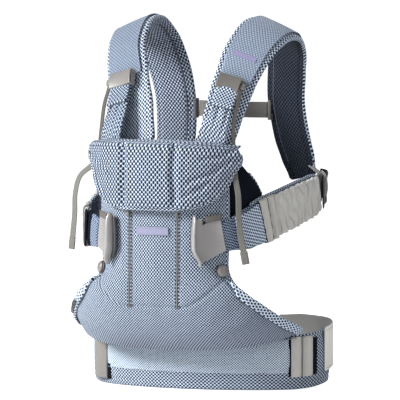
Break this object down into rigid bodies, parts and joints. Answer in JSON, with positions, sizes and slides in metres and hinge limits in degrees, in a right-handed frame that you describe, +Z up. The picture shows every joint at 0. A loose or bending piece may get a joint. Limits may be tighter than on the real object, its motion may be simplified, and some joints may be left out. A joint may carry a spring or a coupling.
{
  "type": "soft baby carrier",
  "caption": "Soft structured baby carrier worn on the chest: padded mesh panel with fold-down head support, ring waist belt, padded shoulder straps, side buckles, adjusters and zips.",
  "frame": {"origin": "middle of the waist belt's front lower edge, on the plane the belt rests on", "axes": "+Z up, -Y is the outer face of the front panel, +X is the wearer's left"},
  "size_m": [0.3862, 0.3542, 0.5586],
  "materials": {
    "spacer_mesh": "open spacer mesh",
    "fine_fabric": "fine knit",
    "grey_webbing": "woven webbing",
    "grey_satin": "gathered satin weave",
    "dark_elastic": "ribbed elastic",
    "dark_lining": "fine knit",
    "zip_tape_grey": "coil zip",
    "lilac_label": "woven label, blank",
    "light_plastic": "satin moulding",
    "grey_plastic": "fine texture",
    "brown_plastic": "fine texture",
    "dark_plastic": "fine texture"
  },
  "bodies": {
    "carrier": {"adjuster_webbing_L": "grey_webbing", "adjuster_webbing_R": "grey_webbing", "belt_keeper_L1": "grey_webbing", "belt_keeper_L2": "grey_webbing", "belt_keeper_R1": "grey_webbing", "belt_lining": "spacer_mesh", "buckle_base_L": "grey_plastic", "buckle_base_R": "grey_plastic", "buckle_webbing_R": "grey_webbing", "care_tag": "dark_lining", "cross_loop_L": "dark_plastic", "cross_loop_R": "dark_plastic", "cross_strap": "grey_webbing", "elastic_band_L": "dark_elastic", "elastic_band_R": "dark_elastic", "front_label": "lilac_label", "front_panel": "spacer_mesh", "front_strap_L": "spacer_mesh", "front_strap_R": "spacer_mesh", "panel_lining": "spacer_mesh", "rear_band_L": "grey_webbing", "rear_band_R": "grey_webbing", "rear_slider_L": "light_plastic", "rear_slider_R": "light_plastic", "ruched_sleeve_L": "grey_satin", "ruched_sleeve_R": "grey_satin", "shoulder_cover_L": "fine_fabric", "shoulder_cover_R": "fine_fabric", "shoulder_pad_L": "spacer_mesh", "shoulder_pad_R": "spacer_mesh", "side_wing_L": "dark_lining", "side_wing_R": "dark_lining", "sleeve_keeper_L": "grey_webbing", "sleeve_keeper_R": "grey_webbing", "snap_socket_L": "dark_plastic", "snap_socket_R": "dark_plastic", "underarm_strap_L": "spacer_mesh", "underarm_strap_R": "spacer_mesh", "waist_belt": "spacer_mesh", "waist_receiver": "grey_plastic", "zip_tape_L": "zip_tape_grey", "zip_tape_R": "zip_tape_grey"},
    "head_support": {"head_support": "spacer_mesh"},
    "tail_L": {"strap_tail_L": "grey_webbing", "tail_end_L": "grey_webbing"},
    "tail_R": {"strap_tail_R": "grey_webbing", "tail_end_R": "grey_webbing"},
    "waist_male": {"waist_male": "grey_plastic", "buckle_webbing_L": "grey_webbing"},
    "waist_button": {"waist_button": "light_plastic"},
    "zip_slider_L": {"zip_slider_L": "grey_plastic"},
    "buckle_tongue_L": {"buckle_tongue_L": "light_plastic"},
    "buckle_release_L": {"buckle_release_L": "brown_plastic"},
    "snap_cap_L": {"snap_cap_L": "light_plastic"},
    "adjuster_L": {"adjuster_L": "light_plastic"},
    "zip_slider_R": {"zip_slider_R": "grey_plastic"},
    "buckle_tongue_R": {"buckle_tongue_R": "light_plastic"},
    "buckle_release_R": {"buckle_release_R": "brown_plastic"},
    "snap_cap_R": {"snap_cap_R": "light_plastic"},
    "adjuster_R": {"adjuster_R": "light_plastic"}
  },
  "joints": [
    {"name": "head_support_fold", "type": "hinge", "parent": "carrier", "child": "head_support", "pos_m": [0, -0.094, 0.386], "axis": [-1, 0, 0], "range_deg": [0, 165]},
    {"name": "zip_slide_L", "type": "slide", "parent": "carrier", "child": "zip_slider_L", "axis": [0, 0, -1], "range_m": [0, 0.1]},
    {"name": "buckle_unclip_L", "type": "slide", "parent": "carrier", "child": "buckle_tongue_L", "axis": [0.651, -0.7591, 0], "range_m": [0, 0.018]},
    {"name": "buckle_release_L", "type": "slide", "parent": "carrier", "child": "buckle_release_L", "axis": [0, 0, -1], "range_m": [0, 0.003], "stiffness_N_per_m": 400},
    {"name": "snap_open_L", "type": "slide", "parent": "carrier", "child": "snap_cap_L", "axis": [0.715, -0.6759, 0.1786], "range_m": [0, 0.006]},
    {"name": "adjuster_tilt_L", "type": "hinge", "parent": "carrier", "child": "adjuster_L", "pos_m": [0.0905, -0.0279, 0.4521], "axis": [0.9418, 0.2206, -0.2536], "range_deg": [0, 20]},
    {"name": "zip_slide_R", "type": "slide", "parent": "carrier", "child": "zip_slider_R", "axis": [0, 0, -1], "range_m": [0, 0.1]},
    {"name": "buckle_unclip_R", "type": "slide", "parent": "carrier", "child": "buckle_tongue_R", "axis": [-0.651, -0.7591, 0], "range_m": [0, 0.018]},
    {"name": "buckle_release_R", "type": "slide", "parent": "carrier", "child": "buckle_release_R", "axis": [0, 0, -1], "range_m": [0, 0.003], "stiffness_N_per_m": 400},
    {"name": "snap_open_R", "type": "slide", "parent": "carrier", "child": "snap_cap_R", "axis": [-0.715, -0.6759, 0.1786], "range_m": [0, 0.006]},
    {"name": "adjuster_tilt_R", "type": "hinge", "parent": "carrier", "child": "adjuster_R", "pos_m": [-0.0905, -0.0279, 0.4521], "axis": [0.9418, -0.2206, 0.2536], "range_deg": [0, 20]},
    {"name": "tail_swing_L", "type": "hinge", "parent": "carrier", "child": "tail_L", "pos_m": [0.1225, -0.051, 0.332], "axis": [-1, 0, 0], "range_deg": [0, 40]},
    {"name": "tail_swing_R", "type": "hinge", "parent": "carrier", "child": "tail_R", "pos_m": [-0.124, -0.049, 0.334], "axis": [-1, 0, 0], "range_deg": [0, 40]},
    {"name": "waist_unclip", "type": "slide", "parent": "carrier", "child": "waist_male", "axis": [1, 0, 0], "range_m": [0, 0.022]},
    {"name": "waist_button_press", "type": "slide", "parent": "carrier", "child": "waist_button", "axis": [0, -1, 0], "range_m": [0, 0.0025], "stiffness_N_per_m": 600}
  ]
}
